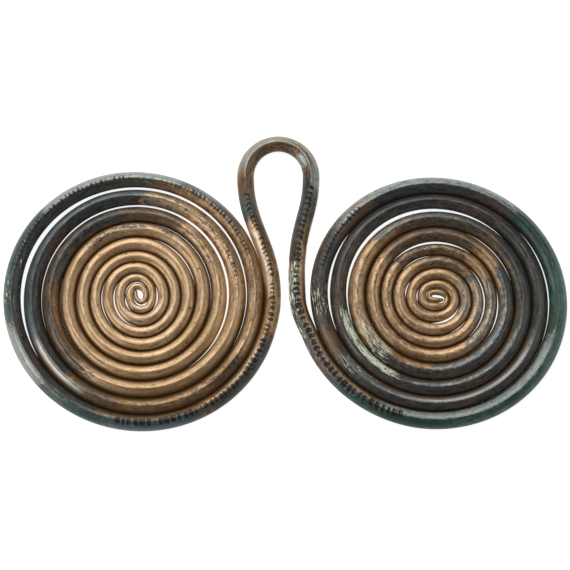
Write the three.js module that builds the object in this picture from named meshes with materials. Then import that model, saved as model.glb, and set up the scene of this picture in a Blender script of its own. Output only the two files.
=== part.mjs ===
// Spectacle spiral: one bronze rod, wound into two flat discs that a loop joins.
// It lies on its flat underside. X runs across both discs, Y towards the loop, Z up. Millimetres.
// Angles on a disc start at the side next to the loop and run over the top, outwards along the rod.

import * as THREE from 'three';

// Loop and the spacing of the discs
const neckGap = 3.7;            // clear width between the two legs, level with the discs
const crownHeight = 67.2;       // middle of the rod at the crown, above the left disc's middle
const crownRadius = 14.6;       // bend of the crown, to the middle of the rod
const crownLean = 3.0;          // the crown leans this far towards the left disc
const rightDiscDrop = 0.9;      // the right disc sits this much lower than the left one
const legWidth = 7.4;
const crownWidth = 6.8;

// Rod
const turnClearance = 0.2;      // between turns that lie against each other
const heightPerWidth = 0.86;    // the rod is a little flatter than it is wide
const roundUpTo = 3;            // turns from the eye that are nearly round
const ridgedFrom = 8;           // turn from which the rod is ridged like a roof
const footLength = 0.05;        // share of a turn in which the disc's edge becomes a leg
const ridgeLean = 0.5;          // how far the ridge lies off the middle, towards the loop's side
const widestAt = 0.42;          // share of the height at which the rod is widest

// Corners of the rod's section, from the ridge down the left side and up the right one.
// The first number is across, as a share of half the width, and the second one up the height.
const ridgedSection = [
  [0.15, 1], [0.6, 0.74], [1, widestAt], [0.5, 0],
  [-0.5, 0], [-1, widestAt], [-0.6, 0.74], [-0.15, 1],
];
const roundSection = [
  [0.3, 1], [0.8, 0.8], [1, widestAt], [0.5, 0],
  [-0.5, 0], [-1, widestAt], [-0.8, 0.8], [-0.3, 1],
];

// Fineness of the facets
const innerSteps = 24;          // per turn, near the eye
const outerSteps = 36;          // per turn, from the turn below outwards
const outerFrom = 5;
const stepsPerHookBend = 3;
const legSteps = 11;
const crownSteps = 14;

// Each disc: turns are the room that one turn after another takes up, from the eye outwards.
// drift is where the middle of the turns wanders to, towards the loop and up, and oval how far
// they are out of round, along the loop's direction and along the diagonal: both at even spaces
// from the eye to the edge. hook is the bent tip: towards the loop, up, and the rod's width.
// The turns take over from it at firstTurn.
// daylight lists the slits between turns: turn, first and last degree, and width.
const leftDisc = {
  side: -1,
  eyeRadius: 2.1,
  firstTurn: 0.5,
  turns: [2.7, 3.9, 5.4, 5.1, 6.1, 6.5, 7.3, 8.1, 7.7, 7.0],
  drift: [[-0.35, 0.05], [-0.65, -1.15], [-0.05, -1.2], [-0.8, -1.1]],
  oval: [[-0.6, -0.3], [-0.25, -0.25], [0.1, 0.1], [1.2, -0.35]],
  hook: [
    [-2.1, 2.4, 1.6], [-2.1, 0.3, 1.9], [-1.4, -1.9, 2.2], [0.3, -3.1, 2.3], [2.0, -2.3, 2.5],
    [2.6, -0.2, 2.6], [2.0, 2.2, 2.8], [0, 3.7, 3.1], [-2.9, 3.6, 3.2],
  ],
  daylight: [
    [0, 285, 325, 0.5], [1, 183, 245, 0.5], [1, 310, 395, 0.5], [2, 140, 275, 0.5],
    [3, 150, 230, 0.3], [5, 10, 80, 0.35], [6, -15, 90, 0.2], [7, -55, 190, 0.55],
    [8, -30, 212, 0.8], [8, 110, 212, 0.9],
  ],
  spring: 0.4,
  legHandles: [23.7, 22.5],
};
const rightDisc = {
  side: 1,
  eyeRadius: 0.6,
  firstTurn: 0.75,
  turns: [3.1, 4.0, 5.1, 5.7, 5.6, 6.6, 7.8, 7.4, 7.5, 7.8],
  drift: [[-0.3, -0.1], [0.05, -0.85], [0.15, -1.05], [1.1, -0.65]],
  oval: [[0.65, 0.3], [0.55, 0.2], [0.55, 0.7], [1.75, 1.15]],
  hook: [
    [-3.9, -1.1, 0.8], [-2.6, -1.3, 1.7], [-0.7, -1.4, 2.4], [1.4, -1.3, 2.6], [2.9, 0.1, 2.3],
    [1.7, 1.9, 2.5], [-0.7, 2.2, 2.7], [-3.2, 1.6, 2.6], [-5.1, -0.1, 2.4], [-4.9, -2.6, 2.8],
    [-3.0, -4.2, 3.2],
  ],
  daylight: [
    [2, 200, 285, 0.6], [2, -15, 30, 0.35], [3, 0, 35, 0.35],
    [3, 215, 250, 0.2], [4, 38, 90, 0.25], [4, 130, 230, 0.4], [5, 40, 130, 0.7],
    [5, 172, 215, 0.35], [6, 110, 170, 0.25], [7, -20, 140, 1.1], [8, -20, 38, 0.8],
    [8, 142, 202, 0.4], [9, 278, 425, 2.2],
  ],
  spring: 2.1,
  legHandles: [32.8, 19.5],
};

// Points and widths along the rod are held together: x, y and half the width as z.
const tangentStep = 0.001;      // share of a turn over which a direction is taken

function splineThrough(pairs) {
  return new THREE.SplineCurve(pairs.map(([x, y]) => new THREE.Vector2(x, y)));
}

// The spiral line on which one turn meets the next, as a point on the disc.
function meetingLine(disc, turn) {
  const share = turn / disc.turns.length;
  const reach = [[0, disc.eyeRadius]];
  disc.turns.forEach((room, index) => reach.push([index + 1, reach[index][1] + room]));
  const angle = turn * 2 * Math.PI;
  const oval = splineThrough(disc.oval).getPoint(share);
  const outOfRound = oval.x * Math.cos(2 * angle) + oval.y * Math.sin(2 * angle);
  const radius = splineThrough(reach).getPoint(share).y + outOfRound;
  const middle = splineThrough(disc.drift).getPoint(share);
  return new THREE.Vector2(Math.cos(angle), Math.sin(angle)).multiplyScalar(radius).add(middle);
}

// Width of the slit that shows between two turns on their meeting line.
function slitWidth(disc, turn) {
  let width = 0;
  for (const [whole, from, to, widest] of disc.daylight) {
    const share = ((turn - whole) * 360 - from) / (to - from);
    if (share > 0 && share < 1) width += widest * Math.sin(Math.PI * share);
  }
  return width + turnClearance;
}

// Middle and half width of the rod inside a disc, a number of turns from the eye.
function rodInDisc(disc, turn) {
  const inner = meetingLine(disc, turn);
  const outer = meetingLine(disc, turn + 1);
  const across = outer.clone().sub(inner);
  const room = across.length();
  across.normalize();
  const innerEdge = slitWidth(disc, turn) / 2;
  const outerEdge = room - slitWidth(disc, turn + 1) / 2;
  const lastTurn = disc.turns.length - 1;
  const foot = THREE.MathUtils.smoothstep(turn, lastTurn - footLength, lastTurn);
  const middle = (innerEdge + outerEdge) / 2 + foot * disc.spring;
  const half = THREE.MathUtils.lerp((outerEdge - innerEdge) / 2, legWidth / 2, foot);
  const point = inner.addScaledVector(across, middle);
  return new THREE.Vector3(point.x, point.y, half);
}

// The rod of one disc from its tip to the foot of its leg, as seen with the loop on the right.
function discRod(disc) {
  const spiral = [];
  const lastTurn = disc.turns.length - 1;
  let turn = disc.firstTurn;
  while (turn < lastTurn - 0.5 / outerSteps) {
    spiral.push({ station: rodInDisc(disc, turn), turn });
    turn += 1 / (turn < outerFrom ? innerSteps : outerSteps);
  }
  spiral.push({ station: rodInDisc(disc, lastTurn), turn: lastTurn });
  const bends = disc.hook.map(([x, y, width]) => new THREE.Vector3(x, y, width / 2));
  const hookCurve = new THREE.CatmullRomCurve3([...bends, spiral[0].station, spiral[2].station]);
  const hookSteps = bends.length * stepsPerHookBend;
  const hook = [];
  for (let step = 0; step < hookSteps; step += 1) {
    const share = step / (stepsPerHookBend * (bends.length + 1));
    hook.push({ station: hookCurve.getPoint(share), turn: 0 });
  }
  return [...hook, ...spiral];
}

// A disc's rod in the object's frame, beside the neck, with its edge half the gap away from it.
function placedDisc(disc, drop) {
  const rod = discRod(disc);
  const foot = rod[rod.length - 1].station;
  const middleX = foot.x + foot.z + neckGap / 2;
  for (const { station } of rod) {
    station.x = disc.side * (middleX - station.x);
    station.y -= drop;
  }
  return rod;
}

// Leg from the foot on a disc up to the side of the crown, as one smooth bend.
function legRod(disc, rod) {
  const foot = rod[rod.length - 1].station;
  const [footHandle, crownHandle] = disc.legHandles;
  const lastTurn = disc.turns.length - 1;
  const onward = rodInDisc(disc, lastTurn).sub(rodInDisc(disc, lastTurn - tangentStep));
  const rise = new THREE.Vector3(-disc.side * onward.x, onward.y, 0).setLength(footHandle);
  const top = crownPoint(disc.side < 0 ? Math.PI : 0);
  const bend = new THREE.CubicBezierCurve3(
    foot,
    foot.clone().add(rise),
    top.clone().setY(top.y - crownHandle),
    top,
  );
  const inner = bend.getPoints(legSteps).slice(1, -1);
  return inner.map((station) => ({ station, turn: disc.turns.length }));
}

// Middle and half width of the rod at an angle round the crown, from the right leg over the top.
function crownPoint(angle) {
  const half = THREE.MathUtils.lerp(legWidth, crownWidth, Math.sin(angle) ** 2) / 2;
  const x = crownRadius * Math.cos(angle) - crownLean;
  const y = crownHeight - crownRadius + crownRadius * Math.sin(angle);
  return new THREE.Vector3(x, y, half);
}

function crownRod(turn) {
  const stations = [];
  for (let step = 0; step <= crownSteps; step += 1) {
    const angle = Math.PI * (1 - step / crownSteps);
    stations.push({ station: crownPoint(angle), turn });
  }
  return stations;
}

function wholeRod() {
  const left = placedDisc(leftDisc, 0);
  const right = placedDisc(rightDisc, rightDiscDrop);
  return [
    ...left,
    ...legRod(leftDisc, left),
    ...crownRod(leftDisc.turns.length),
    ...legRod(rightDisc, right).reverse(),
    ...right.reverse(),
  ];
}

// One corner of the section: ridged at the edge of the discs and the loop, rounder near the eyes.
function sectionCorner(corner, turn) {
  const ridged = THREE.MathUtils.smoothstep(turn, roundUpTo, ridgedFrom);
  return roundSection[corner].map((value, axis) => (
    THREE.MathUtils.lerp(value, ridgedSection[corner][axis], ridged)
  ));
}

// A straight bar with closed ends, bent along the rod's path and given its section.
function rodGeometry(rod) {
  const sides = ridgedSection.length;
  const steps = rod.length - 1;
  const geometry = new THREE.CylinderGeometry(1, 1, 1, sides, steps);
  const vertices = geometry.attributes.position;
  for (let index = 0; index < vertices.count; index += 1) {
    const barX = vertices.getX(index);
    const barZ = vertices.getZ(index);
    const place = Math.round((0.5 - vertices.getY(index)) * steps);
    const { station, turn } = rod[place];
    const ahead = rod[Math.min(place + 1, steps)].station;
    const behind = rod[Math.max(place - 1, 0)].station;
    const left = new THREE.Vector2(behind.y - ahead.y, ahead.x - behind.x).normalize();
    const onAxis = Math.hypot(barX, barZ) < 0.5;
    const corner = Math.round((Math.atan2(barX, barZ) / (2 * Math.PI)) * sides + sides) % sides;
    const [across, up] = onAxis ? [0, 0.5] : sectionCorner(corner, turn);
    const lean = ridgeLean * left.y * Math.max(up - widestAt, 0);
    const reach = (across + lean) * station.z;
    const height = 2 * station.z * heightPerWidth;
    vertices.setXYZ(index, station.x + reach * left.x, station.y + reach * left.y, up * height);
  }
  geometry.deleteAttribute('uv');
  geometry.computeVertexNormals();
  return geometry;
}

// The origin is the middle of the outline, on the surface that the spiral lies on.
function centred(geometry) {
  geometry.computeBoundingBox();
  const middle = geometry.boundingBox.getCenter(new THREE.Vector3());
  return geometry.translate(-middle.x, -middle.y, 0);
}

const bronze = new THREE.MeshStandardMaterial({ color: 0x6f5a3e, roughness: 0.48, metalness: 0.85 });

const rod = new THREE.Mesh(centred(rodGeometry(wholeRod())), bronze);
rod.name = 'spiral_rod';

const spectacleSpiral = new THREE.Group();
spectacleSpiral.add(rod);

export default spectacleSpiral;
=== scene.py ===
import math
import bpy
import numpy as np
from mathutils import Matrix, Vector


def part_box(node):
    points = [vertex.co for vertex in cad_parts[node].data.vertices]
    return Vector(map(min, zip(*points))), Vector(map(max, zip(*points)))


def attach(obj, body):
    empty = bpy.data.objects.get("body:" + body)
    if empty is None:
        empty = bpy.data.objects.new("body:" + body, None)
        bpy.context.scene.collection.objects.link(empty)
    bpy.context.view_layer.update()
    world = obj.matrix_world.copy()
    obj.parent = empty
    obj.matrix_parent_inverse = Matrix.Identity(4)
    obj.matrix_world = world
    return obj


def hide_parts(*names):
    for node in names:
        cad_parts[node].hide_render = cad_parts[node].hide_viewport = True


# A bronze spectacle spiral on a pale table: one long rod, wound into two flat discs with a
# loop between them. Lengths of the rod are in millimetres and become metres in the mesh.
# Angles on a disc start at the side next to the loop and run over the top, outwards.

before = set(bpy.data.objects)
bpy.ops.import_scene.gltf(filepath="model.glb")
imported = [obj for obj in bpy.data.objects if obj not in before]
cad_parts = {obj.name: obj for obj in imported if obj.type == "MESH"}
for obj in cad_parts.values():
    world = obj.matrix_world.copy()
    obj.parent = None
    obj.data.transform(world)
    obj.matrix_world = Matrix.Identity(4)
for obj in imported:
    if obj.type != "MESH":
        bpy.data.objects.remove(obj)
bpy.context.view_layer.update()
mm = 0.001

rod = {
    "neckGap": 3.7,          # clear width between the legs, level with the discs
    "crownHeight": 67.2,     # middle of the rod at the crown, above the left disc's middle
    "crownRadius": 14.6,
    "crownLean": 3.0,        # towards the left disc
    "rightDiscDrop": 0.9,    # below the left disc
    "legWidth": 7.4,
    "crownWidth": 6.8,
    "clearance": -0.03,      # turns that touch are pressed together by this
    "slitGain": 1.25,        # slits between turns are this much wider than in the solid
    "footLength": 0.05,      # share of a turn in which a disc's edge becomes a leg
    "heightPerWidth": 0.86,
    "widestAt": 0.42,        # share of the height
    "flatness": 1.16,        # above 1, the underside has a flat
    "ridgeLean": 0.5,        # ridge lies off the middle, towards the top of the picture
    "ridgeLine": (0.08, 0.2),  # middle and reach of the dark line on the ridge
    "roundUpTo": 3,          # turns from the eye that are nearly round
    "ridgedFrom": 8,         # turns from the eye where the ridge is sharp
    "ridgePower": 1.3,       # section above its widest line: 1 is a roof, 2 is round
    "roundPower": 1.85,
    "waver": 0.08,           # the hammered ridge dips by up to twice this much
    "waverLengths": (31, 13, 7.3, 4.1),
    "tipBlunt": 0.02,        # how blunt the very ends are
    "tipTurn": -0.6,         # where the tips count as starting, in turns
    "bendPoints": 16,        # from one point of a hook to the next
    "linePoints": 200,       # along a leg, and along the crown
    "ringPoints": 17,        # over the top of the section
    "ringCrowding": 1.15,    # above 1, they stand closer at the ridge
    "flatPoints": 5,         # across the underside
    "coarseStep": 1.2,       # between rings, where the rod is plain
    "thinHalf": 2.6,         # below this half width, plain rings stand closer
    "thinLeast": 0.3,        # but not closer than this share of coarseStep
    "fineStep": 0.38,        # between rings, where the rod is nicked
}

# Turns are the room that one turn after another takes up, from the eye outwards. Drift is
# where their middle wanders to, towards the loop and up, and oval how far they are out of
# round, along the loop's direction and along the diagonal: both at even spaces from the eye to
# the edge. Hook is the bent tip: towards the loop, up, and the rod's width. The turns take over
# from it at firstTurn. Daylight lists the slits: the turn outside it, first and last degree, and
# width. At nine no turn lies outside, so there a width thins the rod and a negative one thickens
# it. Spring is how far the rod stands off its disc at the foot of the leg. A leg is one smooth
# curve, and its handles have these lengths at the foot and at the crown.
leftDisc = {
    "side": -1,
    "eyeRadius": 2.1,
    "firstTurn": 0.5,
    "turns": [2.7, 3.9, 5.4, 5.1, 6.1, 6.5, 7.3, 8.1, 7.7, 7.0],
    "drift": [(-0.35, 0.05), (-0.65, -1.15), (-0.05, -1.2), (-0.8, -1.1)],
    "oval": [(-0.6, -0.3), (-0.25, -0.25), (0.1, 0.1), (1.2, -0.35)],
    "hook": [(-2.1, 2.4, 1.6), (-2.1, 0.3, 1.9), (-1.4, -1.9, 2.2), (0.3, -3.1, 2.3), (2.0, -2.3, 2.5),
             (2.6, -0.2, 2.6), (2.0, 2.2, 2.8), (0, 3.7, 3.1), (-2.9, 3.6, 3.2)],
    "daylight": [(0, 285, 325, 0.5), (1, 183, 245, 0.5), (1, 310, 395, 0.5), (2, 140, 275, 0.5),
                 (3, 150, 230, 0.3), (5, 10, 80, 0.35), (6, -15, 90, 0.2), (7, -60, 205, 0.6),
                 (7, -55, 70, 0.3), (8, -30, 212, 0.8), (8, 110, 212, 0.9), (9, -40, 80, -0.45)],
    "spring": 0.4,
    "legHandles": (23.7, 22.5),
}
rightDisc = {
    "side": 1,
    "eyeRadius": 0.6,
    "firstTurn": 0.75,
    "turns": [3.1, 4.0, 5.1, 5.7, 5.6, 6.6, 7.8, 7.4, 7.5, 7.8],
    "drift": [(-0.3, -0.1), (0.05, -0.85), (0.15, -1.05), (1.1, -0.65)],
    "oval": [(0.65, 0.3), (0.55, 0.2), (0.55, 0.7), (1.75, 1.15)],
    "hook": [(-3.9, -1.1, 0.8), (-2.6, -1.3, 1.7), (-0.7, -1.4, 2.4), (1.4, -1.3, 2.6), (2.9, 0.1, 2.3),
             (1.7, 1.9, 2.5), (-0.7, 2.2, 2.7), (-3.2, 1.6, 2.6), (-5.1, -0.1, 2.4), (-4.9, -2.6, 2.8),
             (-3.0, -4.2, 3.2)],
    "daylight": [(2, 200, 285, 0.6), (2, -15, 30, 0.35), (3, 0, 35, 0.35),
                 (3, 215, 250, 0.2), (4, 38, 90, 0.25), (4, 130, 230, 0.4), (5, 40, 130, 0.7),
                 (5, 172, 215, 0.35), (6, 110, 170, 0.25), (7, -20, 140, 1.1), (8, -20, 38, 0.8),
                 (8, 142, 202, 0.4), (9, 278, 425, 2.2)],
    "spring": 2.1,
    "legHandles": (32.8, 19.5),
}

legTurn = len(leftDisc["turns"]) - 1    # turns are counted on along the legs and the crown
crownTurn = legTurn + 1

# Nicks along the ridge. Each run has side, turn, first and last degree on it, depth as a share,
# and pitch. Degrees past 360 go on to the next turn. Turn nine is the leg, with 360 at the crown.
nicks = {
    "bandWidth": 0.32,       # half of the band, as a share of half the rod's width
    "bandPower": 4,          # how square a nick's ends are
    "depth": 0.32,
    "gap": 0.45,             # uncut share between nicks
    "wall": 0.4,             # share in which a nick gets to its depth
    "coarsePitch": (2.2, 2.7),  # nicks with more pitch are coarse
    "coarseLonger": 0.45,    # coarse nicks are longer by this share
    "coarseCloser": 0.4,     # and leave this much less gap
    "jitter": 0.24,          # of the places along the rod, as a share of the pitch
    "jitterLengths": (17, 5.9, 3.7),
    "sway": 0.13,            # across the rod
    "swayLengths": (19, 6.7, 2.9),
    "strength": 0.72,        # how deep the nicks are on the whole
    "strengthSpread": 0.75,  # and how much that changes
    "strengthLeast": 0.12,
    "strengthLengths": (23, 11.3, 5.1, 3.3),
    "fade": 4,               # degrees at the ends of a run
    "fineRingsFrom": 0.2,    # share of depth that needs the finest rings
    "runs": [(-1, 7, 3, 52, 0.4, 1.9), (-1, 8, 22, 68, 0.75, 1.95), (-1, 8, 66, 100, 0.4, 2.1),
             (-1, 8, 96, 165, 0.85, 2.1), (-1, 8, 260, 300, 1.1, 2.8), (-1, 8, 296, 365, 1.0, 2.45),
             (-1, 8, 358, 680, 1.0, 2.05), (1, 8, 15, 52, 0.8, 2.0), (1, 8, 50, 75, 0.3, 2.0),
             (1, 8, 285, 365, 1.0, 2.9), (1, 8, 358, 690, 1.15, 2.5)],
}

# Painted shade: creases where turns touch are darkened
creaseShade = {
    "slit": (0.1, 0.6),      # slit widths at which they begin to fade and are gone
    "foot": (-0.02, 0.16),   # turns past the foot of a leg in which they fade
    "height": (0.45, 0.93),  # shares of the rod's height between which they fade
    "gain": 1.1,
}

# Patina, and painted highlight and sheen, as fields on the rod: side, first and last turn, first and
# last degree, facet, amount.
# Turn ten is the crown, from 0 at its sides to 180 at its top. On legs and crown, inner is the
# side away from the loop's opening.
patinaAndPaintedLight = {
    # Painted highlights in cream, on facets that catch the light
    "paintedHighlight": [(-1, 9, 9, 10, 215, "inner", 0.82), (-1, 8, 8, 318, 345, "inner", 0.5),
              (1, 8, 8, 296, 352, "inner", 0.85), (1, 9, 9, -10, 40, "inner", 0.5),
              (-1, 8, 8, -5, 25, "inner", 0.55)],
    "brown": [(1, 0, 8, -40, 400, "both", 0.42), (-1, 6, 6, 60, 230, "both", 0.65),
              (-1, 7, 7, 225, 330, "both", 0.55), (-1, 8, 8, 0, 75, "inner", 0.62),
              (-1, 8, 8, 290, 345, "outer", 0.9), (-1, 9, 9, -20, 380, "outer", 0.6),
              (-1, 9, 9, 230, 380, "both", 0.6), (1, 9, 9, 60, 380, "outer", 0.8),
              (1, 9, 9, 120, 380, "inner", 0.55), (-1, 10, 10, 0, 200, "both", 0.45),
              (1, 10, 10, 0, 200, "both", 0.5), (1, 5, 5, 40, 130, "both", 0.6),
              (1, 6, 6, 70, 200, "both", 0.65), (1, 8, 8, -30, 70, "both", 0.75),
              (-1, 8, 8, 15, 92, "both", 0.62), (1, 7, 7, -20, 40, "both", 0.7),
              (-1, 8, 8, 240, 302, "inner", 0.7), (-1, 8, 8, -15, 30, "outer", 0.6),
              (-1, 9, 9, 60, 200, "inner", 0.26), (1, 8, 8, 60, 130, "inner", 0.8)],
    "slate": [(-1, 7, 7, 84, 205, "outer", 0.95), (-1, 7, 7, 66, 90, "both", 0.5),
              (-1, 9, 9, 235, 310, "both", 0.6), (1, 6, 6, 40, 130, "outer", 0.6),
              (1, 4, 5, 150, 240, "both", 0.55), (1, 2, 3, 140, 215, "both", 0.5),
              (1, 6, 7, 225, 330, "inner", 0.7), (1, 7, 7, 40, 150, "outer", 0.5),
              (-1, 8, 8, 232, 300, "outer", 0.9), (-1, 8, 8, 88, 165, "outer", 0.6),
              (-1, 8, 8, 40, 92, "outer", 0.6), (1, 5, 7, 190, 275, "both", 0.7),
              (1, 8, 8, 30, 62, "both", 0.5)],
    "dark": [(-1, 8, 8, 82, 240, "inner", 0.95), (-1, 8, 8, 116, 196, "outer", 0.8),
             (-1, 7, 7, 88, 228, "inner", 0.85), (-1, 6, 6, 95, 175, "both", 0.64),
             (-1, 6, 6, 60, 100, "both", 0.48), (-1, 6, 6, 175, 240, "outer", 0.55),
             (-1, 7, 7, 232, 262, "both", 0.5), (-1, 8, 8, 300, 345, "outer", 0.7),
             (-1, 8, 8, 240, 300, "inner", 0.36), (-1, 5, 5, 95, 140, "both", 0.45),
             (-1, 7, 7, 312, 335, "outer", 0.5), (-1, 7, 7, 10, 85, "outer", 0.42),
             (-1, 9, 9, 130, 330, "outer", 0.5), (1, 9, 9, 60, 380, "outer", 0.72),
             (1, 9, 9, 290, 400, "both", 0.36), (-1, 9, 9, 290, 400, "both", 0.36),
             (1, 8, 8, 55, 150, "inner", 0.8), (1, 7, 7, 20, 330, "outer", 0.8),
             (1, 7, 7, 20, 200, "inner", 0.72), (1, 6, 6, 130, 345, "outer", 0.8),
             (1, 6, 6, 60, 200, "inner", 0.6), (1, 5, 5, 150, 330, "outer", 0.65),
             (1, 4, 5, 40, 130, "both", 0.45), (1, 3, 3, 60, 150, "both", 0.42),
             (1, 8, 8, 150, 290, "inner", 0.45), (1, 8, 8, -20, 38, "both", 0.72),
             (1, 7, 7, -25, 30, "both", 0.75), (-1, 8, 8, 215, 252, "both", 0.78),
             (-1, 10, 10, 0, 200, "both", 0.28), (1, 10, 10, 0, 200, "both", 0.28),
             (1, 8, 8, 285, 330, "outer", 0.8), (1, 9, 9, -40, 60, "outer", 0.8),
             (1, 6, 6, 285, 365, "both", 0.6), (1, 9, 9, 195, 400, "inner", 0.75),
             (1, 9, 9, 60, 200, "inner", 0.4),
             (-1, 5, 6, 60, 120, "outer", 0.5), (-1, 6, 7, 20, 80, "both", 0.36),
             (-1, 10, 10, 0, 200, "outer", 0.46), (1, 10, 10, 0, 200, "outer", 0.46),
             (-1, 8, 8, 150, 196, "both", 0.85)],
    "green": [(-1, 8, 8, 120, 258, "outer", 0.6), (1, 8, 8, 60, 320, "outer", 1.0),
              (1, 8, 8, 130, 300, "both", 0.75), (1, 9, 9, 270, 330, "both", 0.5),
              (-1, 9, 9, 240, 330, "both", 0.45), (1, 7, 7, 300, 345, "both", 0.45)],
    # Painted sheen: silver-grey reflections of the lights on facets
    "paintedSheen": [(-1, 8, 8, 70, 138, "outer", 0.95), (-1, 8, 8, 192, 222, "outer", 0.85),
               (-1, 7, 7, 202, 240, "outer", 0.85), (-1, 10, 10, 20, 200, "inner", 0.66),
               (1, 10, 10, -60, 200, "inner", 0.58), (-1, 8, 8, 28, 66, "outer", 0.5),
               (1, 8, 8, 36, 135, "outer", 0.62), (1, 10, 10, 66, 128, "outer", 1.15),
               (1, 8, 8, 195, 300, "inner", 0.66), (1, 7, 7, 205, 330, "inner", 0.6),
               (-1, 8, 8, 66, 100, "inner", 0.3)],
    "crust": [(-1, 8, 8, 165, 192, "outer", 0.36), (-1, 8, 8, 145, 205, "both", 0.26),
              (1, 6, 6, 294, 356, "inner", 0.72), (1, 5, 5, 306, 347, "both", 0.56),
              (1, 7, 7, 308, 336, "both", 0.36), (1, 8, 8, -12, 12, "both", 0.44),
              (1, 9, 9, -25, 85, "outer", 0.58), (-1, 7, 8, -12, 12, "both", 0.28),
              (1, 4, 4, 300, 330, "inner", 0.4), (-1, 8, 8, 225, 262, "both", 0.24)],
}

# Degrees to each side of a field's end in which it fades, on a disc and on a leg, and shares of
# half the rod's width between which it fades from one facet to the other
patinaAndPaintedLightFade = {"disc": 9, "leg": 34, "facet": (-0.3, 0.06)}


def smooth(value, start, end):
    share = np.clip((np.asarray(value, float) - start) / (end - start), 0, 1)
    return share * share * (3 - 2 * share)


def mix(a, b, share):
    return a + (b - a) * share


def cubicBetween(a, b, slopeA, slopeB, w):
    cubic = 2 * a - 2 * b + slopeA + slopeB
    square = 3 * b - 3 * a - 2 * slopeA - slopeB
    return cubic * w ** 3 + square * w ** 2 + slopeA * w + a


# Smooth line through values that stand at even spaces, share from 0 to 1
def evenSpline(values, share):
    values = np.asarray(values, float)
    last = len(values) - 1
    place = np.clip(share, 0, 1) * last
    index = np.minimum(place.astype(int), last - 1)
    before, a, b, after = (values[np.clip(index + k, 0, last)] for k in (-1, 0, 1, 2))
    return cubicBetween(a, b, (b - before) / 2, (after - a) / 2, place - index)


# Centripetal curve through points, for the bent tips: it doesn't overshoot at tight bends
def tipCurve(points, perBend):
    points = [np.asarray(p, float) for p in points]
    points = [2 * points[0] - points[1], *points, 2 * points[-1] - points[-2]]
    made = []
    for before, a, b, after in zip(points[:-3], points[1:], points[2:], points[3:]):
        pairs = (before, a), (a, b), (b, after)
        d0, d1, d2 = (math.sqrt(np.linalg.norm(q - p)) for p, q in pairs)
        slopeA = ((a - before) / d0 - (b - before) / (d0 + d1) + (b - a) / d1) * d1
        slopeB = ((b - a) / d1 - (after - a) / (d1 + d2) + (after - b) / d2) * d1
        for w in np.arange(perBend) / perBend:
            made.append(cubicBetween(a, b, slopeA, slopeB, w))
    return np.array(made)


# The spiral line on which one turn meets the next
def meetingLine(disc, turn):
    turn = np.asarray(turn, float)
    share = turn / len(disc["turns"])
    angle = turn * 2 * math.pi
    reach = np.cumsum([disc["eyeRadius"], *disc["turns"]])
    oval = [evenSpline([o[k] for o in disc["oval"]], share) for k in (0, 1)]
    middle = [evenSpline([d[k] for d in disc["drift"]], share) for k in (0, 1)]
    radius = evenSpline(reach, share) + oval[0] * np.cos(2 * angle) + oval[1] * np.sin(2 * angle)
    return np.stack([radius * np.cos(angle) + middle[0], radius * np.sin(angle) + middle[1]], -1)


def slitWidth(disc, turn):
    width = np.full(np.shape(turn), float(rod["clearance"]))
    for whole, first, last, widest in disc["daylight"]:
        share = ((turn - whole) * 360 - first) / (last - first)
        gain = rod["slitGain"] if whole < legTurn else 1
        width += widest * gain * np.sin(math.pi * np.clip(share, 0, 1))
    return width


# Middle of the rod and half its width, a number of turns from the eye
def rodInDisc(disc, turn):
    turn = np.asarray(turn, float)
    inner, outer = meetingLine(disc, turn), meetingLine(disc, turn + 1)
    room = np.linalg.norm(outer - inner, axis=-1)
    out = (outer - inner) / room[..., None]
    innerEdge = slitWidth(disc, turn) / 2
    outerEdge = room - slitWidth(disc, turn + 1) / 2
    foot = smooth(turn, legTurn - rod["footLength"], legTurn)
    middle = (innerEdge + outerEdge) / 2 + foot * disc["spring"]
    half = mix((outerEdge - innerEdge) / 2, rod["legWidth"] / 2, foot)
    return np.concatenate([inner + out * middle[..., None], half[..., None]], -1)


# Stations are x, y, half width, turn from the eye and disc; from the tip outwards to the foot
def discPath(disc, drop):
    first, perBend = disc["firstTurn"], rod["bendPoints"]
    turn = np.linspace(first, legTurn, int((legTurn - first) * 360) + 1)
    spiral = rodInDisc(disc, turn)
    onward = rodInDisc(disc, first + 1 / 12)
    bends = [(x, y, width / 2) for x, y, width in disc["hook"]]
    tip = tipCurve([*bends, spiral[0], onward], perBend)[:-perBend]
    tipTurns = np.linspace(rod["tipTurn"], first, len(tip), endpoint=False)
    path = np.concatenate([tip, spiral])
    foot = path[-1]
    path[:, 0] = disc["side"] * (foot[0] + foot[2] + rod["neckGap"] / 2 - path[:, 0])
    path[:, 1] -= drop
    turns = np.concatenate([tipTurns, turn])
    return np.column_stack([path, turns, np.full(len(path), disc["side"])])


def crownPoint(angle):
    half = mix(rod["legWidth"], rod["crownWidth"], np.sin(angle) ** 2) / 2
    x = rod["crownRadius"] * np.cos(angle) - rod["crownLean"]
    y = rod["crownHeight"] - rod["crownRadius"] + rod["crownRadius"] * np.sin(angle)
    return np.stack([x, y, half], -1)


def legPath(disc, path):
    footHandle, crownHandle = disc["legHandles"]
    justBefore = legTurn - 0.001
    onward = rodInDisc(disc, legTurn) - rodInDisc(disc, justBefore)
    rise = np.array([-disc["side"] * onward[0], onward[1], 0])
    rise *= footHandle / np.linalg.norm(rise)
    foot, top = path[-1, :3], crownPoint(math.pi if disc["side"] < 0 else 0.0)
    w = np.linspace(0, 1, rod["linePoints"])[1:-1, None]
    ends = foot, foot + rise, top - (0, crownHandle, 0), top
    shares = (1 - w) ** 3, 3 * (1 - w) ** 2 * w, 3 * (1 - w) * w ** 2, w ** 3
    bend = sum(share * end for share, end in zip(shares, ends))
    return np.column_stack([bend, legTurn + w[:, 0], np.full(len(bend), disc["side"])])


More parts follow.
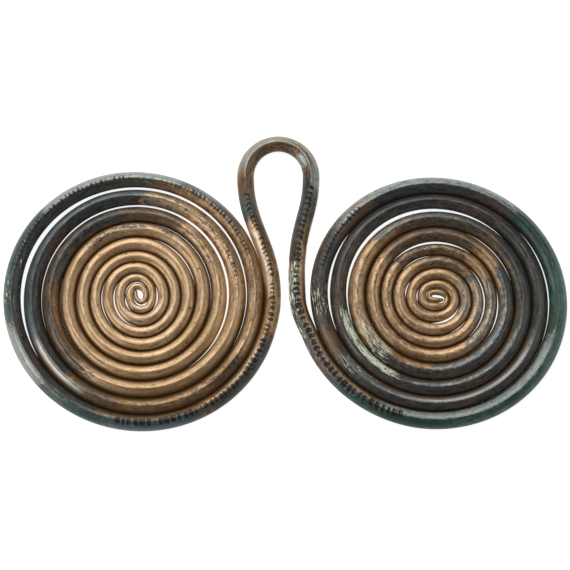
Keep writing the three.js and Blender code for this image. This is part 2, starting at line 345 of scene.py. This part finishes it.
def wholePath():
    left, right = discPath(leftDisc, 0), discPath(rightDisc, rod["rightDiscDrop"])
    around = np.linspace(math.pi, 0, rod["linePoints"])
    crown = np.column_stack([crownPoint(around), crownTurn + 0.5 * np.sin(around), np.cos(around)])
    leftLeg, rightLeg = legPath(leftDisc, left), legPath(rightDisc, right)
    return np.concatenate([left, leftLeg, crown, rightLeg[::-1], right[::-1]])


# How strongly each place on the rod lies in a run of degrees on one turn
def inRun(turn, disc, side, whole, first, last, edge):
    degree = (turn - whole) * 360
    begun = smooth(degree, first - edge, first + edge)
    over = smooth(degree, last - edge, last + edge)
    return begun * (1 - over) * (disc * side > 0)


# Depth and pitch of the nicks at each place on the rod
def nickShare(turn, disc):
    runs = np.array([inRun(turn, disc, *run[:4], nicks["fade"]) * run[4] for run in nicks["runs"]])
    pitches = np.array([run[5] for run in nicks["runs"]])
    return runs.max(axis=0), pitches[runs.argmax(axis=0)]


def patinaAndPaintedLightField(name, turn, disc, facet):
    field = np.zeros(facet.shape)
    outer, inner = (smooth(value, *patinaAndPaintedLightFade["facet"]) for value in (-facet, facet))
    for side, first, last, start, end, where, amount in patinaAndPaintedLight[name]:
        reach = {"both": 1, "outer": outer, "inner": inner}[where]
        for whole in range(first, last + 1):
            edge = patinaAndPaintedLightFade["disc" if whole < legTurn else "leg"]
            run = inRun(turn, disc, side, whole, start, end, edge)[:, None]
            field = np.maximum(field, run * reach * amount)
    return field


# Rings stand close where the rod is nicked and further apart elsewhere
def ringStations(path):
    steps = np.linalg.norm(np.diff(path[:, :2], axis=0), axis=1)
    along = np.concatenate([[0], np.cumsum(steps)])
    nicked = smooth(nickShare(path[:, 3], path[:, 4])[0], 0, nicks["fineRingsFrom"])
    plain = rod["coarseStep"] * np.clip(path[:, 2] / rod["thinHalf"], rod["thinLeast"], 1)
    spacing = mix(plain, rod["fineStep"], nicked)
    count = np.concatenate([[0], np.cumsum(steps / ((spacing[1:] + spacing[:-1]) / 2))])
    wanted = np.arange(int(count[-1]) + 1) * count[-1] / int(count[-1])
    place = np.interp(wanted, count, along)
    columns = [np.interp(place, along, path[:, k]) for k in range(5)]
    return np.column_stack([*columns, place])


# Section of the rod: across and up, as shares of half the width and of the height
def sectionShape(ridged):
    top = np.cos(np.linspace(0, math.pi, rod["ringPoints"]))
    across = np.sign(top) * np.abs(top) ** rod["ringCrowding"]
    power = mix(rod["roundPower"], rod["ridgePower"], ridged)[:, None]
    up = (1 - np.minimum(np.abs(across), 1) ** power) ** (1 / power)
    up = rod["widestAt"] + (1 - rod["widestAt"]) * up
    under = np.linspace(math.pi, 2 * math.pi, rod["flatPoints"] + 2)[1:-1]
    low = np.maximum(rod["widestAt"] * (1 + rod["flatness"] * np.sin(under)), 0)
    acrossAll = np.tile(np.concatenate([across, np.cos(under)]), (len(ridged), 1))
    return acrossAll, np.concatenate([up, np.tile(low, (len(ridged), 1))], 1)


def wander(place, lengths, seed):
    shifts = [seed * (k + 1.7) for k in range(len(lengths))]
    waves = [np.sin(2 * math.pi * place / length + shift) for length, shift in zip(lengths, shifts)]
    return sum(waves) / len(waves)


# How deep the rod is nicked at each point, as a share
def nickCuts(place, turn, disc, across, up):
    share, pitch = nickShare(turn, disc)
    coarse = smooth(pitch, *nicks["coarsePitch"])
    jitter = nicks["jitter"] * wander(place, nicks["jitterLengths"], 1.0)
    wave = 0.5 + 0.5 * np.cos(2 * math.pi * (np.cumsum(np.gradient(place) / pitch) + jitter))
    strength = nicks["strengthSpread"] * wander(place, nicks["strengthLengths"], 3.0)
    strength = np.clip(nicks["strength"] + strength, nicks["strengthLeast"], 1)
    gap = nicks["gap"] - nicks["coarseCloser"] * coarse
    cut = smooth(wave - gap, 0, nicks["wall"]) * share * strength
    bandWidth = nicks["bandWidth"] * (1 + nicks["coarseLonger"] * coarse)[:, None]
    sway = nicks["sway"] * wander(place, nicks["swayLengths"], 4.0)[:, None]
    band = np.clip(1 - ((across - sway) / bandWidth) ** nicks["bandPower"], 0, 1)
    return band * (up > rod["widestAt"]) * cut[:, None]


# How deep each point lies between two turns that touch, as a share
def creaseShadeShare(turn, disc, across, up):
    closed = []
    for beyond in (0, 1):    # the slit inside this turn, then the one outside it
        slits = slitWidth(leftDisc, turn + beyond), slitWidth(rightDisc, turn + beyond)
        opened = smooth(np.where(disc < 0, *slits), *creaseShade["slit"])
        onLeg = smooth(turn, *(legTurn - beyond + fade for fade in creaseShade["foot"]))
        closed.append(((1 - opened) * (1 - onLeg))[:, None])
    touching = np.where(across > 0, *closed)
    return np.clip(touching * (1 - smooth(up, *creaseShade["height"])) * creaseShade["gain"], 0, 1)


def rodMesh():
    stations = ringStations(wholePath())
    x, y, half, turn, disc, place = stations.T
    ahead = np.gradient(stations[:, :2], axis=0)
    ahead /= np.linalg.norm(ahead, axis=1)[:, None]
    leftward = np.stack([-ahead[:, 1], ahead[:, 0]], -1)
    ridged = smooth(turn, rod["roundUpTo"], rod["ridgedFrom"])
    across, up = sectionShape(ridged)
    fromEnd = np.clip(np.minimum(place, place[-1] - place) / half, 0, 1)
    size = half * np.sqrt(np.clip(1 - (1 - fromEnd) ** 2, rod["tipBlunt"], 1))
    waver = rod["waver"] * (1 + wander(place, rod["waverLengths"], 2.0))
    cuts = nickCuts(place, turn, disc, across, up)
    onTop = up > rod["widestAt"]

    lean = rod["ridgeLean"] * leftward[:, 1:2] * np.maximum(up - rod["widestAt"], 0)
    reach = (across + lean) * size[:, None]
    height = up * (2 * size * rod["heightPerWidth"] - waver)[:, None] - cuts * nicks["depth"]
    px = x[:, None] + reach * leftward[:, :1]
    py = y[:, None] + reach * leftward[:, 1:]
    points = np.stack([px, py, height], -1)
    lo, hi = (np.array(v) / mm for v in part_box("spiral_rod"))
    middle = (points.min((0, 1)) + points.max((0, 1))) / 2
    points[..., :2] += ((lo + hi) / 2 - middle)[:2]

    rings, around = across.shape
    index = np.arange(rings * around).reshape(rings, around)
    nextOne = np.roll(index, -1, axis=1)
    quads = np.stack([index[:-1], index[1:], nextOne[1:], nextOne[:-1]], -1).reshape(-1, 4)
    faces = quads.tolist() + [index[0].tolist(), index[-1][::-1].tolist()]
    mesh = bpy.data.meshes.new("bronzeSpiralRod")
    mesh.from_pydata((points.reshape(-1, 3) * mm).tolist(), [], faces)
    mesh.polygons.foreach_set("use_smooth", [True] * len(faces))

    ridgeMiddle, ridgeReach = rod["ridgeLine"]
    ridgeLine = np.clip(1 - np.abs(across - ridgeMiddle) / ridgeReach, 0, 1)
    facts = {
        "along": np.repeat(place, around),
        "across": across * half[:, None],
        "turn": np.repeat(turn, around),
        # Where shade is painted between touching turns
        "crease": creaseShadeShare(turn, disc, across, up),
        "ridge": ridgeLine * onTop * ridged[:, None],
        "nick": cuts,
    }
    for name in patinaAndPaintedLight:
        facts[name] = patinaAndPaintedLightField(name, turn, disc, across)
    for name, values in facts.items():
        attribute = mesh.attributes.new(name, "FLOAT", "POINT")
        attribute.data.foreach_set("value", values.ravel().astype(np.float32))
    mesh.update()
    print("rod:", rings, "rings,", 2 * len(faces), "triangles,", round(place[-1]), "mm long")
    return mesh


class Signal:
    def __init__(self, finish, socket):
        self.finish = finish
        self.socket = socket

    def work(self, operation, *values):
        sockets = dict(enumerate(values))
        return self.finish.add("ShaderNodeMath", {"operation": operation}, sockets)

    def __add__(self, other):
        return self.work("ADD", self, other)

    def __mul__(self, other):
        return self.work("MULTIPLY", self, other)

    def __sub__(self, other):
        return self.work("SUBTRACT", self, other)

    def __rsub__(self, other):
        return self.work("SUBTRACT", other, self)

    __radd__ = __add__
    __rmul__ = __mul__


class Finish:
    def __init__(self, name):
        self.material = bpy.data.materials.new(name)
        self.material.use_nodes = True
        self.tree = self.material.node_tree
        self.surface = self.tree.nodes["Principled BSDF"].inputs

    def add(self, kind, settings=None, sockets=None, out=0):
        node = self.tree.nodes.new(kind)
        for name, value in (settings or {}).items():
            setattr(node, name, value)
        for key, value in (sockets or {}).items():
            self.feed(node.inputs[key], value)
        return Signal(self, node.outputs[out])

    def feed(self, target, value):
        if isinstance(value, Signal):
            self.tree.links.new(value.socket, target)
        else:
            target.default_value = value

    def fact(self, name):
        return self.add("ShaderNodeAttribute", {"attribute_name": name}, out=2)

    def blend(self, factor, a, b):
        a, b = ((*c, 1) if isinstance(c, tuple) else c for c in (a, b))
        return self.add("ShaderNodeMix", {"data_type": "RGBA"}, {0: factor, 6: a, 7: b}, out=2)

    def ramp(self, value, start, end):
        settings = {"interpolation_type": "SMOOTHSTEP"}
        sockets = {0: value, 1: start, 2: end, 3: 0.0, 4: 1.0}
        return self.add("ShaderNodeMapRange", settings, sockets)

    def noise(self, where, scale, detail, roughness):
        sockets = {"Vector": where, "Scale": scale, "Detail": detail, "Roughness": roughness}
        return self.add("ShaderNodeTexNoise", None, sockets)


# Colours are linear. Each coat lies over the one before, in patches with ragged edges.
bronze = {
    "bare": (0.665, 0.465, 0.29),
    "bareDeep": (0.455, 0.285, 0.13),
    # Painted highlight: a cream tone on facets that catch the light
    "paintedHighlight": (0.88, 0.7, 0.53),
    "brown": (0.21, 0.13, 0.072),
    "slate": (0.05, 0.122, 0.16),
    "dark": (0.042, 0.052, 0.052),
    "darkBrown": (0.08, 0.056, 0.042),
    "black": (0.016, 0.018, 0.017),
    "green": (0.012, 0.046, 0.033),
    "paleGreen": (0.045, 0.105, 0.08),
    # Painted sheen: a silver-grey reflection of the lights
    "paintedSheen": (0.31, 0.335, 0.315),
    "crust": (0.62, 0.68, 0.52),
    # Painted shade: crease is the near-black where turns touch, which the scratches share; shade is the
    # broader brown painted shade around it
    "crease": (0.018, 0.009, 0.003),
    "shade": (0.17, 0.086, 0.02),
    # Dark spots of dirt, the dark line on the ridge, and painted shade in the nicks
    "dirtAndShade": (0.012, 0.009, 0.006),
    # How fast a grain changes along and across the rod: a small first number draws it out along
    # the rod. A grain in the metal has the mesh's own space, in metres.
    "spaces": {
        "streaky": (0.10, 1.0),
        "patchy": (0.40, 1.0),
        "drawn": (0.05, 2.2),
        "flowing": (0.16, 1.1),
    },
    "turnShift": 3.0,        # so that no turn repeats the one beside it
    # Space, scale, detail and roughness of each grain
    "grains": {
        "streak": ("streaky", 1.5, 4.0, 0.6),
        "mottle": ("patchy", 0.8, 6.0, 0.72),
        "flecks": ("patchy", 2.6, 3.0, 0.6),
        "spots": ("patchy", 1.4, 2.0, 0.5),
        "flakes": ("flowing", 1.8, 5.0, 0.7),
        "scratches": ("drawn", 1.0, 3.0, 0.6),
        "cloud": ("metal", 70.0, 4.0, 0.6),
        "fine": ("metal", 1100.0, 3.0, 0.6),
    },
    # Where each tone or coat starts and is full
    "levels": {
        "bare": (0.75, 1.2),
        "darkBrown": (0.4, 0.62),
        "black": (0.95, 1.2),
        "paleGreen": (0.95, 1.25),
        "tarnish": (0.98, 1.24),
        "brown": (0.25, 0.75),
        "scratches": (0.56, 0.68),
        "crust": (0.56, 0.66),
        "spots": (0.64, 0.72),
        "shade": (0.0, 0.6),
        "crease": (0.55, 1.0),
        "ridge": (0.42, 0.6),
        "nick": (0.08, 0.45),
    },
    # How much each hides of what lies below it
    "cover": {
        "tarnish": 0.5,
        "paintedHighlight": 0.85,
        "slate": 0.85,
        "paintedSheen": 0.75,
        "scratches": 0.55,
        "crust": 0.95,
        "spots": 0.8,
        "shade": 0.8,
        "crease": 0.95,
        "creaseShadeOnBare": 0.55,
        "ridge": 0.6,
        "nickOnBare": 0.78,
    },
    # How far each grain eats into the edges of patches and of the crust
    "ragged": {"mottle": 1.5, "streak": 0.6, "flecks": 0.8},
    "flaking": {"flakes": 2.4, "streak": 0.8},
    "brownRagged": 0.8,      # share of that on the edges of the brown
    "underlay": 0.6,         # brown under the dark and the green
    "softness": 0.19,        # of the edges of patches
    "slateSoftness": 0.34,
    "paintedHighlightSoftness": 0.3,
    "bareRoughness": 0.4,
    "roughness": {"streak": 0.4, "crust": 0.4, "crease": 0.3, "paintedSheen": -0.12},
    "bareMetal": 0.76,       # how metallic
    "patinaMetal": 0.26,
    "patinaGloss": 0.3,
    "patinaGlossRoughness": 0.18,
    "relief": {"fine": 0.25, "streak": 0.6, "mottle": 0.4, "crust": 0.6},
    "bumpStrength": 0.4,
    "bumpDepth": 0.0002,
}


def weighed(weights, values):
    return sum(values[name] * weight for name, weight in weights.items())


def bronzeFinish():
    look = Finish("agedBronze")
    names = "along", "across", "turn", "crease", "nick", "ridge"
    along, across, turn, crease, nick, ridge = (look.fact(name) for name in names)
    levels, cover = bronze["levels"], bronze["cover"]
    spaces = {"metal": look.add("ShaderNodeTexCoord", out=3)}
    for name, (length, width) in bronze["spaces"].items():
        sockets = {0: along * length, 1: across * width, 2: turn * bronze["turnShift"]}
        spaces[name] = look.add("ShaderNodeCombineXYZ", None, sockets)
    grain = {}
    for name, (space, scale, detail, roughness) in bronze["grains"].items():
        grain[name] = look.noise(spaces[space], scale, detail, roughness)
    streak, mottle, cloud = grain["streak"], grain["mottle"], grain["cloud"]
    centred = {name: grain[name] - 0.5 for name in ("streak", "mottle", "flecks", "flakes")}
    ragged = weighed(bronze["ragged"], centred)

    def level(name, value):
        return look.ramp(value, *levels[name])

    def patch(name, softness=bronze["softness"]):
        return look.ramp(look.fact(name) + ragged, 0.5 - softness, 0.5 + softness)

    # Bare metal, tarnished, and a painted highlight in cream on facets that catch the light
    colour = look.blend(level("bare", streak + cloud), bronze["bareDeep"], bronze["bare"])
    tarnish = level("tarnish", mottle + cloud)
    colour = look.blend(tarnish * cover["tarnish"], colour, bronze["brown"])
    paintedHighlight = patch("paintedHighlight", bronze["paintedHighlightSoftness"])
    colour = look.blend(paintedHighlight * cover["paintedHighlight"], colour, bronze["paintedHighlight"])

    # Patina: brown lies under the dark and the green too, and shows at their edges
    darkTone = look.blend(level("darkBrown", cloud), bronze["dark"], bronze["darkBrown"])
    darkTone = look.blend(level("black", mottle + streak), darkTone, bronze["black"])
    greenTone = look.blend(level("paleGreen", mottle + cloud), bronze["green"], bronze["paleGreen"])
    dark, green, paintedSheen = patch("dark"), patch("green"), patch("paintedSheen")
    under = (look.fact("dark") + look.fact("green")) * bronze["underlay"]
    brown = level("brown", look.fact("brown") + under + ragged * bronze["brownRagged"])
    slate = patch("slate", bronze["slateSoftness"])
    colour = look.blend(brown, colour, bronze["brown"])
    colour = look.blend(slate * cover["slate"], colour, bronze["slate"])
    colour = look.blend(dark, colour, darkTone)
    colour = look.blend(green, colour, greenTone)
    # Painted sheen: silver-grey reflections of the lights on some facets
    colour = look.blend(paintedSheen * cover["paintedSheen"], colour, bronze["paintedSheen"])

    # Wear, crust and dirt; painted shade in the creases where turns touch and in the nicks; a dark line
    # on the ridge
    scratches = level("scratches", grain["scratches"])
    colour = look.blend(scratches * cover["scratches"], colour, bronze["crease"])
    crust = level("crust", look.fact("crust") + weighed(bronze["flaking"], centred))
    colour = look.blend(crust * cover["crust"], colour, bronze["crust"])
    colour = look.blend(level("spots", grain["spots"]) * cover["spots"], colour, bronze["dirtAndShade"])
    patinated = look.add("ShaderNodeClamp", None, {0: dark + green})
    bareShare = 1.0 - patinated
    # Painted shade: a broad brown where turns touch, then near-black deepest in the crease
    shade = level("shade", crease) * bareShare * cover["shade"]
    colour = look.blend(shade, colour, bronze["shade"])
    creaseShadeCover = cover["crease"] - bareShare * (cover["crease"] - cover["creaseShadeOnBare"])
    colour = look.blend(level("crease", crease) * creaseShadeCover, colour, bronze["crease"])
    # A mottled dark line along the ridge
    colour = look.blend(ridge * level("ridge", mottle) * cover["ridge"], colour, bronze["dirtAndShade"])
    # Painted shade: the nicks darkened, less on bare metal
    nickCover = 1.0 - bareShare * (1 - cover["nickOnBare"])
    colour = look.blend(level("nick", nick) * nickCover, colour, bronze["dirtAndShade"])
    look.feed(look.surface["Base Color"], colour)

    metal = bronze["bareMetal"] - patinated * (bronze["bareMetal"] - bronze["patinaMetal"])
    look.feed(look.surface["Metallic"], metal * (1 - crust))
    wear = {"streak": centred["streak"], "crust": crust, "crease": crease, "paintedSheen": paintedSheen}
    roughness = bronze["bareRoughness"] + weighed(bronze["roughness"], wear)
    look.feed(look.surface["Roughness"], roughness)
    gloss = patinated * (1 - crust) * (1 - crease) * bronze["patinaGloss"]
    look.feed(look.surface["Coat Weight"], gloss)
    look.surface["Coat Roughness"].default_value = bronze["patinaGlossRoughness"]
    relief = weighed(bronze["relief"], {**grain, "crust": crust})
    sockets = {"Strength": bronze["bumpStrength"], "Distance": bronze["bumpDepth"], "Height": relief}
    look.feed(look.surface["Normal"], look.add("ShaderNodeBump", None, sockets))
    return look.material


# The table glows, so that it stays white and shadows on it stay faint
paper = {
    "reach": 3.0,            # from its middle to each side
    "colour": (0.32, 0.32, 0.32, 1),
    "roughness": 0.9,
    "glow": 0.85,
}


def tableTop():
    reach = paper["reach"]
    mesh = bpy.data.meshes.new("paleTable")
    corners = [(-reach, -reach, 0), (reach, -reach, 0), (reach, reach, 0), (-reach, reach, 0)]
    mesh.from_pydata(corners, [], [(0, 1, 2, 3)])
    table = bpy.data.objects.new("paleTable", mesh)
    bpy.context.collection.objects.link(table)
    look = Finish("palePaper")
    look.surface["Base Color"].default_value = paper["colour"]
    look.surface["Roughness"].default_value = paper["roughness"]
    look.surface["Emission Color"].default_value = (1, 1, 1, 1)
    look.surface["Emission Strength"].default_value = paper["glow"]
    mesh.materials.append(look.material)


studio = {
    # Soft lights: size, place, and brightness of their face
    "lights": {
        "window": ((2.2, 1.4), (-0.4, 0.95, 0.75), 1.8),
        "ceiling": ((1.2, 1.2), (-0.2, 0.3, 1.3), 1.85),
        "side": ((0.75, 0.35), (-0.86, -0.52, 0.36), 3.2),
        "fill": ((0.9, 0.6), (0.95, -0.1, 0.4), 0.9),
    },
    "room": 0.12,
    "frameWidth": 0.25356,   # what the picture shows from side to side
    "aim": (-0.00011, -0.00049, 0.0027),
    "lens": 100,
}


def areaLight(name, size, place, brightness):
    data = bpy.data.lights.new(name, "AREA")
    data.shape = "RECTANGLE"
    data.size, data.size_y = size
    data.energy = brightness * math.pi * size[0] * size[1]
    light = bpy.data.objects.new(name, data)
    light.location = place
    light.rotation_euler = (-Vector(place)).to_track_quat("-Z", "Y").to_euler()
    bpy.context.collection.objects.link(light)


def lightsAndCamera():
    for name, (size, place, brightness) in studio["lights"].items():
        areaLight(name + "Light", size, place, brightness)
    world = bpy.data.worlds.new("dimRoom")
    world.use_nodes = True
    background = world.node_tree.nodes["Background"].inputs
    background["Color"].default_value = (1, 1, 1, 1)
    background["Strength"].default_value = studio["room"]
    bpy.context.scene.world = world

    data = bpy.data.cameras.new("overheadCamera")
    data.lens = studio["lens"]
    camera = bpy.data.objects.new("overheadCamera", data)
    aimX, aimY, aimZ = studio["aim"]
    distance = studio["frameWidth"] * data.lens / data.sensor_width
    camera.location = (aimX, aimY, aimZ + distance)
    bpy.context.collection.objects.link(camera)
    bpy.context.scene.camera = camera
    bpy.context.scene.view_settings.view_transform = "Standard"


lightsAndCamera()
print("stage: lights and camera")
tableTop()
print("stage: table")
spiral = bpy.data.objects.new("bronzeSpiralRod", rodMesh())
bpy.context.collection.objects.link(spiral)
spiral.data.materials.append(bronzeFinish())
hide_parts("spiral_rod")
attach(spiral, "root")
print("stage: spiral rod")
